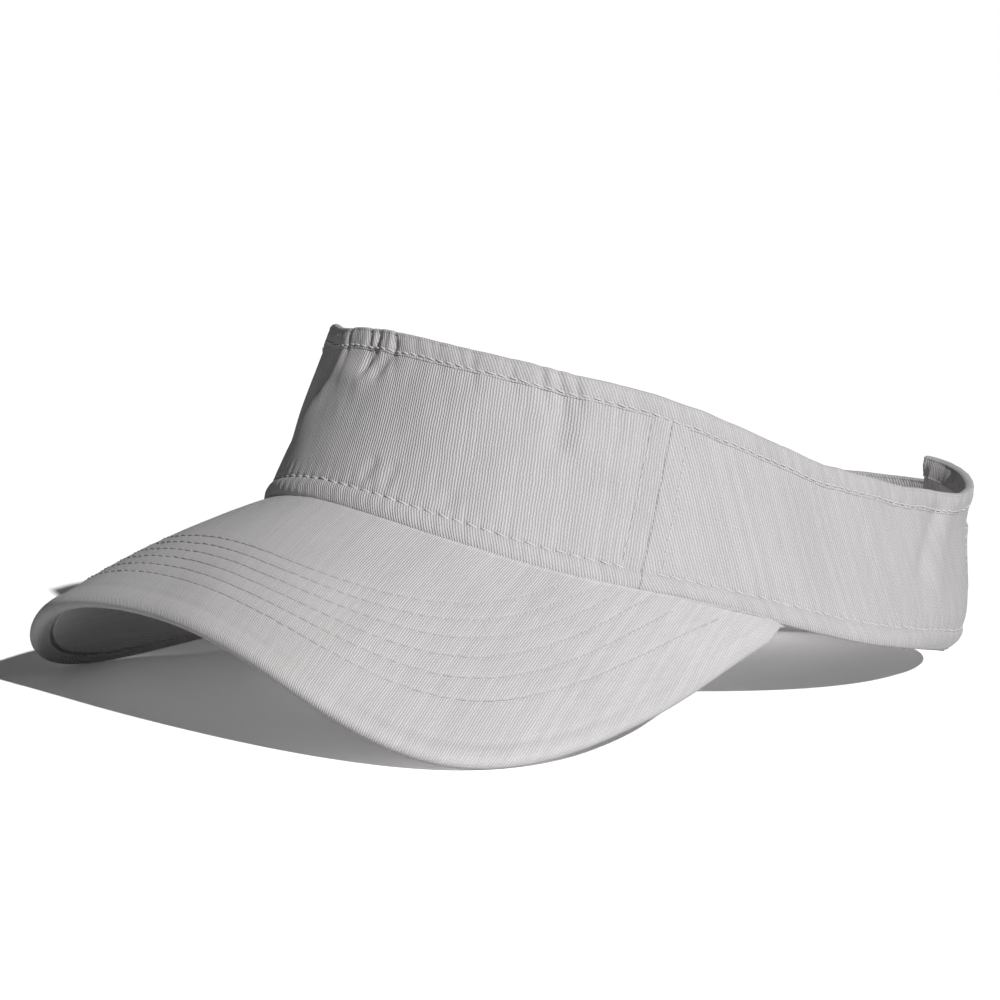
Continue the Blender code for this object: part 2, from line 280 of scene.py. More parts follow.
def brim_normal(angle, share):
    """The brim's upward direction, from points a small step to each side."""
    step = 0.02
    share = np.clip(share, step, 1 - step)
    side = np.clip(angle, step - BRIM_ANGLE, BRIM_ANGLE - step)
    along = brim_middle(side + step, share) - brim_middle(side - step, share)
    across = brim_middle(angle, share + step) - brim_middle(angle, share - step)
    return unit(np.cross(across, along))


def brim_point(angle, across, offset):
    width = brim_frame(angle)[2][:, None]
    share = across / width
    return brim_middle(angle, share) + brim_normal(angle, share) * offset[..., None]


# Folds and rumples of the cloth

NOISE_SIZE = (97, 89)


def noise(x, y, seed):
    """Smooth noise from -1 to 1 on a unit lattice."""
    table = np.random.default_rng(seed).uniform(-1, 1, NOISE_SIZE)
    i, j = np.floor(x).astype(int), np.floor(y).astype(int)
    u, v = ease(x - i), ease(y - j)

    def corner(right, up):
        return table[(i + right) % NOISE_SIZE[0], (j + up) % NOISE_SIZE[1]]

    low = corner(0, 0) * (1 - u) + corner(1, 0) * u
    high = corner(0, 1) * (1 - u) + corner(1, 1) * u
    return low * (1 - v) + high * v


def bell(x, width):
    return np.exp(-((x / width) ** 2))


# Folds of the band as (arc, up) of both ends, width and depth
FOLDS = (
    (-22, 36, -42, 18, 5.5, -1.7),
    (-12, 37, -26, 24, 5.0, 0.8),
    (-5, 35, 3, 33, 4.0, 1.0),
    (5, 45, 3, 36, 1.6, -0.8),
    (13, 44, 9, 36, 1.7, -0.8),
    (67, 46, 68, 33, 2.6, -0.7),
    (73, 45, 73, 34, 3.2, 0.4),
    (18, 13, 17, 9.5, 1.5, -0.5),
    (25, 13, 24, 9.5, 1.5, -0.4),
    (43, 11, 42, 8.5, 1.5, -0.4),
    (217, 38, 204, 22, 3.6, -0.9),
    (226, 36, 214, 20, 4.5, 0.6),
)
# Billows of both straps near their ends, as height, spread and depth
BILLOWS = ((14, 7, 0.7), (31, 9, -1.4))
BILLOW_ARC = 236
BILLOW_SPREAD = 30
# The straps' lower edges draw in
DRAW_IN = 4.5
DRAW_HEIGHT = 11
# The left strap's upper edge flares out
FLARE = 1.4
FLARE_ARC = 240
FLARE_SPREAD = 22
FLARE_FROM = 34
FLARE_HEIGHT = 13
# Rumples above the hem, as depth, length, height and seed
RUMPLES = ((0.55, 27, 34, 3), (0.28, 11, 19, 5))
RUMPLE_FROM = 6
RUMPLE_HEIGHT = 24


def fold_depth(s, v):
    total = 0.0
    for s0, v0, s1, v1, width, depth in FOLDS:
        along = np.array([s1 - s0, v1 - v0])
        t = np.clip(((s - s0) * along[0] + (v - v0) * along[1]) / (along @ along), 0, 1)
        far = np.hypot(s - s0 - t * along[0], v - v0 - t * along[1])
        total = total + depth * bell(far, width)
    return total


def drape(s, v):
    """How far the cloth of the band, with all that is sewn to it, stands off its even shape."""
    end = bell(np.abs(s) - BILLOW_ARC, BILLOW_SPREAD)
    billow = sum(depth * bell(v - at, spread) for at, spread, depth in BILLOWS)
    total = fold_depth(s, v) + end * billow
    total = total - DRAW_IN * end * np.clip(1 - v / DRAW_HEIGHT, 0, 1) ** 2
    total = total + FLARE * bell(s - FLARE_ARC, FLARE_SPREAD) * ease((v - FLARE_FROM) / FLARE_HEIGHT)
    rumple = sum(depth * noise(s / long, v / tall, seed) for depth, long, tall, seed in RUMPLES)
    return total + ease((v - RUMPLE_FROM) / RUMPLE_HEIGHT) * rumple


# Waves of the bound edge, as rise, length and seed, and its peak at the right front
EDGE_WAVES = ((0.45, 19, 8), (0.25, 7, 9))
PEAK_RISE = 1.6
PEAK_ARC = -36
PEAK_SPREAD = 9


def top_wave(s):
    """The bound edge's small rise and fall."""
    wave = sum(rise * noise(s / long, 0 * s + 0.5, seed) for rise, long, seed in EDGE_WAVES)
    return wave + PEAK_RISE * bell(s - PEAK_ARC, PEAK_SPREAD)


# Grooves across the binding: depths with how common each is, and ranges of the rest
PUCKER_DEPTHS = (0.06, 0.12, 0.2, 0.3)
PUCKER_ODDS = (0.3, 0.35, 0.25, 0.1)
PUCKER_WIDTHS = (0.7, 1.6)
PUCKER_SLANTS = (-0.1, 0.5)
PUCKER_PITCHES = (2.6, 7.5)
PUCKER_OVERRUN = 4
PUCKER_WIDENING = 0.05
# The deepest grooves, as arc and depth
DEEP_PUCKERS = ((-12, 0.5), (-0.5, 0.7), (3.5, 0.4), (11.5, 0.6), (26, 0.25), (39.5, 0.3))
DEEP_PUCKERS += ((51, 0.4), (59.5, 0.6), (64, 0.45), (68.5, 0.45))
DEEP_WIDTH = 1.0
DEEP_SLANT = 0.35


def pucker_list():
    """Grooves across the binding: arc, depth, width and slant."""
    random = np.random.default_rng(12)
    found = []
    s = TAB_END - PUCKER_OVERRUN
    while s < STRAP_END + PUCKER_OVERRUN:
        depth = random.choice(PUCKER_DEPTHS, p=PUCKER_ODDS)
        width = random.uniform(*PUCKER_WIDTHS)
        slant = random.uniform(*PUCKER_SLANTS)
        found.append((s, depth, width, slant))
        s += random.uniform(*PUCKER_PITCHES)
    return found + [(s, depth, DEEP_WIDTH, DEEP_SLANT) for s, depth in DEEP_PUCKERS]


PUCKERS = pucker_list()


def puckers(s, down):
    """The grooves' depth at this arc and this far below the bound edge."""
    total = 0.0 * s
    for at, depth, width, slant in PUCKERS:
        total = total + depth * bell(s - at - slant * down, width + PUCKER_WIDENING * down)
    return total


def hem_stitch_phase(s):
    return (s / HEM_PITCH) % 1


# The panel seams: the doubled cloth's rise, the dip of the rows and of the seam, and the slant
SEAM_RISE = 0.22
SEAM_ROW_DIP = 0.1
SEAM_DIP = 0.05
SEAM_SLANT_FROM = 6
SEAM_SLANT_SPREAD = 45


def seam_relief(s):
    """The pressed seams between the panels, with the doubled cloth beside them."""
    off = np.minimum(np.abs(s - SEAM), np.abs(s + SEAM))
    doubled = SEAM_RISE * ease((SEAM_ROW_OFFSET + 0.8 - off) / 1.6)
    rows = -SEAM_ROW_DIP * bell(off - SEAM_ROW_OFFSET, 0.7)
    return doubled + rows - SEAM_DIP * bell(off, 0.6)


def lean_arc(s, v):
    """The arc of a point whose panel leans with the seams."""
    near = bell(np.abs(s) - SEAM, SEAM_SLANT_SPREAD)
    return s + np.sign(s) * SEAM_SLANT * (v - SEAM_SLANT_FROM) * near


# The hem: a rolled bead, the dip along its stitches, and the pull and the gathers at each hole
BEAD_BASE = -0.6
BEAD_RISE = 1.3
BEAD_MIDDLE = 2.6
BEAD_HALF = 2.7
BEAD_PUFF = 0.12
BEAD_UNEVEN = 0.06
HEM_DIP = 0.2
HOLE_PULL = 0.3
HOLE_GATHER = 0.16
GATHER_ABOVE = 2.0


def hem_bead(s, v):
    """The rolled hem, puffed between its stitches."""
    puff = 1 + BEAD_PUFF * np.sin(math.pi * hem_stitch_phase(s)) ** 2
    puff = puff + BEAD_UNEVEN * noise(s / 5, v / 9, 21)
    return BEAD_BASE + BEAD_RISE * puff * np.sqrt(np.clip(1 - ((v - BEAD_MIDDLE) / BEAD_HALF) ** 2, 0, 1))


def hem_dip(s, v):
    """The cloth drawn in along the hem's stitches and at each hole."""
    phase = hem_stitch_phase(s)
    hole = np.minimum(phase, 1 - phase) * HEM_PITCH
    pull = HOLE_PULL * bell(hole, 0.6) * bell(v - HEM_ROW, 0.7)
    gather = HOLE_GATHER * bell(hole, 0.9) * bell(v - HEM_ROW - GATHER_ABOVE, 2.2)
    return -HEM_DIP * bell(v - HEM_ROW + 0.1, 0.6) - pull - gather


# The panels above the hem: how far the binding's grooves reach down, and a fine unevenness
PUCKER_SHARE = 0.75
PUCKER_REACH = 5.0
CLOTH_UNEVEN = 0.07
CLOTH_FROM = 6.5
CLOTH_HEIGHT = 4


def panel_face(s, v, top):
    """The outer face of a band panel."""
    dip = hem_dip(s, v)
    face = np.where(v < HEM_ROW - 0.2, np.maximum(hem_bead(s, v), dip - 0.1), dip)
    below = np.clip(top - v, 0, None)
    face = face - PUCKER_SHARE * puckers(s, below) * bell(below - BINDING_HEIGHT, PUCKER_REACH)
    above = ease((v - CLOTH_FROM) / CLOTH_HEIGHT)
    face = face + above * (seam_relief(s) + CLOTH_UNEVEN * noise(s / 3.2, v / 6.0, 31))
    return face + drape(s, v)


# Meshes


def grid_faces(columns, count):
    """Faces of a closed skin whose rings run up the outside and back down the inside."""
    ring = 2 * count
    i = np.arange(columns - 1)[:, None] * ring
    j = np.arange(ring)[None]
    k = (j + 1) % ring
    skin = np.stack([i + j, i + k, i + k + ring, i + j + ring], -1).reshape(-1, 4)
    k = np.arange(count - 1)
    cap = np.stack([k, k + 1, ring - 2 - k, ring - 1 - k], -1)
    return np.concatenate([skin, cap[:, ::-1], cap + (columns - 1) * ring])


def new_object(name, points, rows, uv, looks):
    """An object from points in millimetres, with the weave coordinates of its cloth."""
    mesh = bpy.data.meshes.new(name)
    mesh.from_pydata((points.reshape(-1, 3) * 0.001).tolist(), [], rows)
    index = np.fromiter(itertools.chain.from_iterable(rows), int)
    layer = mesh.uv_layers.new(name="weave")
    layer.data.foreach_set("uv", uv.reshape(-1, 2)[index].ravel())
    for look in looks:
        mesh.materials.append(look)
    made = bpy.data.objects.new(name, mesh)
    bpy.context.scene.collection.objects.link(made)
    return made


def outward(points, faces):
    """The faces of a closed skin, turned so that they face out."""
    a, b, c, d = (points.reshape(-1, 3)[faces[:, i]] for i in range(4))
    volume = np.einsum("ij,ij->", a, np.cross(b, c) + np.cross(c, d))
    return faces[:, ::-1] if volume < 0 else faces


def shell(name, outer, inner, uv, look, reverse=None):
    """A closed sheet between two grids of points of the same size, with flat cut edges."""
    columns, count = outer.shape[:2]
    faces = grid_faces(columns, count)
    step = np.arange(len(faces)) % (2 * count)
    skin = np.arange(len(faces)) < (columns - 1) * 2 * count
    smooth = skin & (step != count - 1) & (step != 2 * count - 1)
    slots = (smooth & (step >= count)).astype(int) * (reverse is not None)
    looks = [look] if reverse is None else [look, reverse]
    points = np.concatenate([outer, inner[:, ::-1]], axis=1)
    weave = np.concatenate([uv, uv[:, ::-1]], axis=1)
    made = new_object(name, points, outward(points, faces).tolist(), weave, looks)
    made.data.polygons.foreach_set("use_smooth", smooth)
    made.data.polygons.foreach_set("material_index", slots)
    made.data.update()
    return made


# Point spacing along a panel, a binding and an inside layer
PANEL_PITCH = 0.8
FINE_PITCH = 0.55
STRIP_PITCH = 1.2
# A panel's close rows over the hem, the rows above them, and where it ends under the binding
HEM_ZONE = 9
HEM_POINTS = 26
ABOVE_POINTS = 42
PANEL_INSET = 1.4
CUT_END = 0.5
LEAST_THICK = 0.15
# The binding's legs, its fold, and how it swells over the panel
LEG_POINTS = 20
FOLD_POINTS = 13
FOLD_DROP = 0.9
FOLD_RISE = 1.0
FOLD_OVER = 0.62
LEG_STAND = 0.08
LEG_SWELL = 0.4
LEG_STEP = 0.06
LEG_DIP = 0.12
WRINKLE = 0.10
INNER_STAND = 0.15
ROLL_BACK = 9
ROLL_SPREAD = 17
BINDING_OVER = 0.3
STRIP_POINTS = 26


def columns_of(start, end, pitch=PANEL_PITCH):
    return np.linspace(start, end, int(abs(end - start) / pitch) + 2)


def band_panel(name, start, end, look, reverse):
    """A panel of the band, from its hem to under the binding."""
    s = columns_of(start, end)
    top = height(angle_of(s))[:, None]
    share = np.linspace(0, 1, ABOVE_POINTS)[None, 1:]
    low = np.linspace(0.02, HEM_ZONE, HEM_POINTS)[None] + 0 * top
    v = np.concatenate([low, HEM_ZONE + (top - PANEL_INSET - HEM_ZONE) * share], axis=1)
    column = s[:, None] + 0 * v
    ends = np.minimum(np.abs(s - STRAP_END), np.abs(s - TAB_END))[:, None]
    face = panel_face(column, v, top) - CUT_END * bell(ends, 0.6)
    wave = top_wave(column) * ease(v / top)
    back = -PANEL_THICK + drape(column, v) + 0.9 * ease((1.2 - v) / 1.2)
    angle = angle_of(lean_arc(column, v))
    outer = place(angle, v + wave, face)
    inner = place(angle, v + wave, np.minimum(back, face - LEAST_THICK))
    rolled = column - 0.3 * np.maximum(HEM_ROW - v, 0)
    return shell(name, outer, inner, np.stack([rolled, v], -1), look, reverse)


def binding_profile():
    """The folded strip's section: down from the bound edge, out from the panel, and the way it faces."""
    leg = np.linspace(0, 1, LEG_POINTS)
    over = np.linspace(0, math.pi, FOLD_POINTS)[1:-1]
    half = PANEL_THICK / 2
    run = BINDING_HEIGHT - FOLD_DROP
    swell = (1 - ease(np.abs(leg - 0.65) / 0.75)) * LEG_SWELL
    step = LEG_STEP * ease(leg / 0.12)
    dip = -LEG_DIP * bell((leg * BINDING_HEIGHT) - BINDING_ROW, 0.5)
    bulge = LEG_STAND + step + swell + dip
    fold_down = FOLD_DROP - FOLD_RISE * np.sin(over)
    fold_out = -half + (half + FOLD_OVER) * np.cos(over)
    down = np.concatenate([(1 - leg) * run + FOLD_DROP, fold_down, leg * run + FOLD_DROP])
    out = np.concatenate([bulge, fold_out, -PANEL_THICK - bulge[::-1]])
    facing = np.concatenate([np.ones(LEG_POINTS), np.cos(over), -np.ones(LEG_POINTS)])
    return down, out, facing


def strap_roll(column):
    """How far the binding's inner leg stands off where the left strap ends."""
    start = ease((STRAP_END + BINDING_OVER - column) / 5)
    return STRAP_ROLL * bell(column - STRAP_END + ROLL_BACK, ROLL_SPREAD) * start


def binding(name, start, end, look):
    """The bias strip folded over the top edge, drawn in where it is sewn."""
    s = columns_of(start, end, FINE_PITCH)
    top = height(angle_of(s))[:, None]
    down, out, facing = binding_profile()
    column = s[:, None] + 0 * down[None]
    below = down[None] + 0 * column
    depth = puckers(column, below) * (0.55 + 0.45 * bell(below - 3, 3))
    wrinkle = WRINKLE * noise(column / 1.6, below / 2.5, 41)
    within = ease(-facing)[None]
    roll = strap_roll(column) * within * below / BINDING_HEIGHT
    stand = out[None] - facing[None] * (depth * (1 - within) - wrinkle) - roll - INNER_STAND * within
    wave = top_wave(column)
    v = top - below + wave - 0.35 * depth * bell(below, 1.6)
    sway = drape(column, top - below)
    angle = angle_of(lean_arc(column, top - below))
    outer = place(angle, v, stand + sway)
    back = np.clip(out, -PANEL_THICK - 0.05, 0.05)[None] + 0 * column
    back = back + sway - facing[None] * 0.55 * depth
    inner = place(angle, np.minimum(v, top - 0.75 + wave), back)
    weave = np.cumsum(np.concatenate([[0], np.hypot(np.diff(down), np.diff(out))]))
    uv = np.stack([column, weave[None] + 0 * column], -1)
    return shell(name, outer, inner, uv, look)


def inner_strip(name, start, end, low, high, face, back, look, swell=0.0):
    """A flat layer inside or outside the band, from its arc and its heights."""
    s = columns_of(start, end, STRIP_PITCH)
    t = np.linspace(0, 1, STRIP_POINTS)[None]
    low, high = (np.broadcast_to(edge, s.shape)[:, None] for edge in (low, high))
    v = low + (high - low) * t
    column = s[:, None] + 0 * v
    sway = drape(column, v)
    angle = angle_of(lean_arc(column, v))
    edge = np.minimum(v - low, high - v)
    ends = np.minimum(np.abs(s - start), np.abs(s - end))[:, None]
    rounded = 0.35 * (bell(edge, 0.5) + bell(ends, 0.6)) * abs(face - back)
    puff = swell * bell(edge - 1.6, 1.3) - rounded
    sign = 1 if face > back else -1
    outer = place(angle, v, face + sign * puff + sway)
    inner = place(angle, v, back + sway)
    return shell(name, outer, inner, np.stack([column, v], -1), look)


def stitches(name, starts, ends, normals, look, radius=THREAD, rise=THREAD_RISE):
    """Threads that come up out of the cloth, run over it and go down again."""
    steps, sides = STITCH_STEPS, STITCH_SIDES
    count = len(starts)
    t = np.linspace(0, 1, steps)
    turn = np.linspace(0, 2 * math.pi, sides, endpoint=False)
    along = unit(ends - starts)
    across = unit(np.cross(normals, along))
    arch = rise * (np.sin(math.pi * t) ** 0.5) - rise
    path = starts[:, None] + (ends - starts)[:, None] * t[:, None]
    path = path + normals[:, None] * arch[:, None]
    thick = radius * np.clip(np.sin(math.pi * (0.08 + 0.84 * t)), 0, 1) ** 0.35
    ring = across[:, None] * np.cos(turn)[:, None] + normals[:, None] * np.sin(turn)[:, None]
    points = path[:, :, None] + ring[:, None] * thick[:, None, None]
    length = np.linalg.norm(ends - starts, axis=-1)
    u = (t[None, :, None] * length[:, None, None]) + 0 * turn
    w = turn[None, None] / (2 * math.pi) + 0 * u
    offset = np.arange(count)[:, None, None] * 0.37
    rows = stitch_faces(count)
    made = new_object(name, points, rows, np.stack([u + offset, w], -1), [look])
    made.data.polygons.foreach_set("use_smooth", np.ones(len(rows), bool))
    made.data.update()
    return made


def stitch_faces(count):
    """Each stitch's sides, and the faces that close its two ends."""
    steps, sides = STITCH_STEPS, STITCH_SIDES
    first = np.arange(count)[:, None, None] * steps * sides
    i = np.arange(steps - 1)[None, :, None] * sides
    j = np.arange(sides)[None, None]
    k = (j + 1) % sides
    base = first + i
    rows = np.stack([base + j, base + k, base + k + sides, base + j + sides], -1).reshape(-1, 4).tolist()
    end = np.array([[0, 1, 2, 3], [3, 4, 5, 6], [0, 3, 6, 6]])
    for offset, order in ((0, 1), ((steps - 1) * sides, -1)):
        quads = (first + end[:, ::-order] + offset).reshape(-1, 4)
        rows += [list(dict.fromkeys(quad)) for quad in quads.tolist()]
    return rows


def band_row(name, start, end, up, out, pitch, length, look, slant=0.0, inside=False):
    """Stitches round the band, at an arc-dependent height and stand-off."""
    first, last = sorted((start, end))
    number = np.arange(math.ceil(first / pitch), math.floor(last / pitch))
    middle = (number + 0.5) * pitch
    random = np.random.default_rng(len(name) * 7 + len(number))
    shake = random.normal(0, 0.09, (4, len(middle)))

    def at(s, lean, dv):
        v = up(s) + lean + dv
        wave = top_wave(s) * ease(v / height(angle_of(s)))
        return place(angle_of(lean_arc(s, v)), v + wave, out(s, v))

    starts = at(middle - length / 2 + shake[0], slant, shake[1])
    ends = at(middle + length / 2 + shake[2], -slant, shake[3])
    normals = axes(angle_of(middle))[0] * (-1 if inside else 1)
    return stitches(name, starts, ends, normals, look)


def seam_row(name, arc, look):
    """Stitches down the band beside a panel seam."""
    angle = float(angle_of(arc))
    top = float(height(angle)) - BINDING_HEIGHT - SEAM_ROW_GAP
    number = np.arange(int((top - HEM_ROW - SEAM_ROW_INSET) / SEAM_PITCH))
    middle = HEM_ROW + SEAM_ROW_INSET + (number + 0.5) * SEAM_PITCH
    angles = np.full(len(middle), angle)
    random = np.random.default_rng(int(abs(arc) * 10))
    shake = random.normal(0, 0.12, (2, len(middle)))

    def at(v, side):
        s = arc + side
        stand = panel_face(s, v, top + BINDING_HEIGHT + SEAM_ROW_GAP) + 0.16
        return place(angle_of(lean_arc(s, v)), v + top_wave(s) * ease(v / (top + 7)), stand)

    starts = at(middle - SEAM_STITCH / 2, shake[0] - 0.12)
    ends = at(middle + SEAM_STITCH / 2, shake[1] + 0.12)
    return stitches(name, starts, ends, axes(angles)[0], look, radius=SEAM_THREAD)


# The brim

# The dip of a stitched row, where the edge starts to turn, and the tucked seam allowance
ROW_DIP = 0.22
RIM_INSET = 1.6
TUCK_RISE = 0.5
TUCK_FROM = 0.7
# Points along and across the brim's top, underside and board
TOP_POINTS = (420, 96)
UNDER_POINTS = (300, 84)
BOARD_POINTS = (160, 30)
BEND_POINTS = 14
HOOK_POINTS = 7


def brim_pattern():
    """The brim's cut laid flat: angles, the inner edge's points, and the heading across from it."""
    angle = np.linspace(-BRIM_ANGLE, BRIM_ANGLE, 1201)
    inner, outer = brim_frame(angle)[:2]
    steps = np.diff(inner, axis=0)
    along = unit(steps)
    across = unit((outer - inner)[1:] + (outer - inner)[:-1])
    normal = unit(np.cross(across, along))
    turned = np.einsum("ij,ij->i", np.cross(along[:-1], along[1:]), normal[1:])
    heading = np.concatenate([[0], np.cumsum(np.arcsin(np.clip(turned, -1, 1)))])
    heading -= heading[len(heading) // 2]
    length = np.linalg.norm(steps, axis=1)
    line = np.cumsum(length[:, None] * np.stack([np.cos(heading), np.sin(heading)], -1), axis=0)
    line -= line[len(line) // 2]
    side = np.einsum("ij,ij->i", np.cross(along, across), normal)
    heading = heading + np.arctan2(side, np.einsum("ij,ij->i", along, across))
    return (angle[1:] + angle[:-1]) / 2, line, np.unwrap(heading)


PATTERN_ANGLE, PATTERN_EDGE, PATTERN_HEADING = brim_pattern()


def brim_weave(angle, across):
    """Flat coordinates of the brim's cloth in millimetres, this far out from the band."""
    x, y = (np.interp(angle, PATTERN_ANGLE, PATTERN_EDGE[:, i])[:, None] for i in (0, 1))
    heading = np.interp(angle, PATTERN_ANGLE, PATTERN_HEADING)[:, None]
    return np.stack([x + across * np.cos(heading), -y - across * np.sin(heading)], -1)


def row_inside(row, angle):
    """A stitched row's distance from the brim's edge, the outermost row being 0."""
    return BRIM_REACH * (row_first(np.abs(angle)) + row_pitch(np.abs(angle)) * row)


def quilting(inside, angle):
    """The relief of the stitched rows, this far inside the brim's edge."""
    relief = 0.0
    for row in range(ROW_COUNT):
        relief = relief - ROW_DIP * bell(inside - row_inside(row, angle), 0.5)
    return relief


def brim_taper(angle):
    """The brim's thickness runs out where it ends under the hem."""
    return (0.2 + 0.8 * ease((BRIM_ANGLE - np.abs(angle)) / 0.1))[:, None]


def rim_of(width):
    """How far out the top cloth starts to turn round the brim's edge."""
    return np.maximum(width - RIM_INSET, 0.2 * width)


def turn_under(width):
    """How far the top cloth reaches back from the edge on the underside."""
    return np.minimum(EDGE_TURN, 0.3 * width)


def top_relief(angle, across, width):
    """The top cloth above the brim's middle: its rows, rumples, piped edge and tucked seam allowance."""
    inside = width - across
    column = angle[:, None] + 0 * across
    flat = brim_weave(angle, across)
    cloth = 0.12 * noise(flat[..., 0] / 23, flat[..., 1] / 17, 51)
    cloth = cloth + 0.04 * noise(flat[..., 0] / 4, flat[..., 1] / 4, 52)
    piping = 0.22 * bell(inside - 2.6, 1.5) - 0.16 * bell(inside - 5.2, 0.8)
    ends = ease((BRIM_ANGLE - np.abs(column)) / 0.2)
    tuck = TUCK_RISE * ease((-across - TUCK_FROM) / TUCK_FROM) * ends
    return BRIM_HALF + quilting(inside, column) + cloth + piping + tuck


def brim_top(look):
    """The top cloth, from behind the hem, over the brim and round its edge to the underside."""
    angle = np.linspace(-BRIM_ANGLE, BRIM_ANGLE, TOP_POINTS[0])
    taper = brim_taper(angle)
    width = brim_frame(angle)[2][:, None]
    turn = turn_under(width)
    rim = rim_of(width)
    tucked = np.minimum(SEAM_ALLOWANCE, 0.25 * width)
    across = np.linspace(0, 1, TOP_POINTS[1])[None] * (rim + tucked) - tucked
    bend = np.linspace(0, math.pi, BEND_POINTS)[None, 1:]
    hook = np.linspace(0, 1, HOOK_POINTS)[None, 1:]
    level = 0 * across
    hook_across = rim - hook * np.maximum(turn - RIM_INSET, 0.1)
    low = 0 * hook_across
    outer_edge = rim + np.minimum(2.1, 0.8 * width) * taper * np.sin(bend)
    inner_edge = rim + np.minimum(1.25, 0.4 * width) * taper * np.sin(bend)
    thick = BRIM_HALF + 0.1
    thin = BRIM_HALF - CLOTH
    over = np.cos(bend) + 0 * width
    outer_across = np.concatenate([across, outer_edge, hook_across], axis=1)
    inner_across = np.concatenate([across, inner_edge, hook_across], axis=1)
    outer_offset = np.concatenate([top_relief(angle, across, width), thick * over, low - thick], axis=1)
    inner_offset = np.concatenate([level + thin, thin * over, low - thin], axis=1)
    outer = brim_point(angle, outer_across, outer_offset * taper)
    inner = brim_point(angle, inner_across, inner_offset * taper)
    past = np.concatenate([level, 2.0 * bend + 0 * width, 6.3 + hook * turn], axis=1)
    uv = brim_weave(angle, np.minimum(outer_across, rim) + past)
    return shell("brim_top_cloth", outer, inner, uv, look)


def brim_under(look):
    angle = np.linspace(-BRIM_ANGLE, BRIM_ANGLE, UNDER_POINTS[0])
    width = brim_frame(angle)[2][:, None]
    turn = turn_under(width)
    reach = np.minimum(width - turn + 0.6, 0.95 * rim_of(width))
    across = np.linspace(0, 1, UNDER_POINTS[1])[None] * reach
    inside = width - across
    flat = brim_weave(angle, across)
    cloth = 0.1 * noise(flat[..., 0] / 15, flat[..., 1] / 12, 53)
    lower = -BRIM_HALF - 0.6 * quilting(inside, angle[:, None]) - cloth + 0.15 * bell(inside - turn, 1.0)
    taper = brim_taper(angle)
    outer = brim_point(angle, across, lower * taper)
    inner = brim_point(angle, across, (-BRIM_HALF + CLOTH + 0 * across) * taper)
    return shell("brim_under_cloth", outer, inner, flat, look)


def brim_board(look):
    end = BOARD_SHARE * BRIM_ANGLE
    angle = np.linspace(-end, end, BOARD_POINTS[0])
    width = brim_frame(angle)[2][:, None]
    share = np.linspace(0, 1, BOARD_POINTS[1])[None]
    across = BOARD_INSET + share * np.maximum(width - BOARD_TRIM, 0.5)
    outer = brim_point(angle, across, 0 * across + BOARD_HALF)
    inner = brim_point(angle, across, 0 * across - BOARD_HALF)
    return shell("board_sheet", outer, inner, brim_weave(angle, across), look)


def brim_row(row, look):
    """One row of stitches that keeps its distance from the brim's edge."""
    half = np.linspace(0, BRIM_ANGLE, 1001)
    reach = half[np.argmax(brim_frame(half)[2] < row_inside(row, half) + ROW_MARGIN)]
    fine = np.linspace(-reach, reach, 2001)
    across = brim_frame(fine)[2] - row_inside(row, fine)
    line = brim_point(fine, across[:, None], np.full((2001, 1), BRIM_HALF))[:, 0]
    far = np.concatenate([[0], np.cumsum(np.linalg.norm(np.diff(line, axis=0), axis=1))])
    random = np.random.default_rng(70 + row)
    middle = (np.arange(int(far[-1] / BRIM_PITCH)) + 0.5) * BRIM_PITCH
    shake = random.normal(0, 0.07, (4, len(middle)))

    def at(distance, side):
        angle = np.interp(distance, far, fine)
        across = brim_frame(angle)[2] - row_inside(row, angle) + side
        return brim_point(angle, across[:, None], np.full((len(angle), 1), BRIM_HALF - 0.02))[:, 0]

    angle = np.interp(middle, far, fine)
    share = (1 - row_inside(row, angle) / brim_frame(angle)[2])[:, None]
    normals = brim_normal(angle, share)[:, 0]
    starts = at(middle - BRIM_STITCH / 2 + shake[0], shake[1])
    ends = at(middle + BRIM_STITCH / 2 + shake[2], shake[3])
    return stitches(f"brim_row_{row + 1}", starts, ends, normals, look, BRIM_THREAD, BRIM_THREAD_RISE)


# Materials


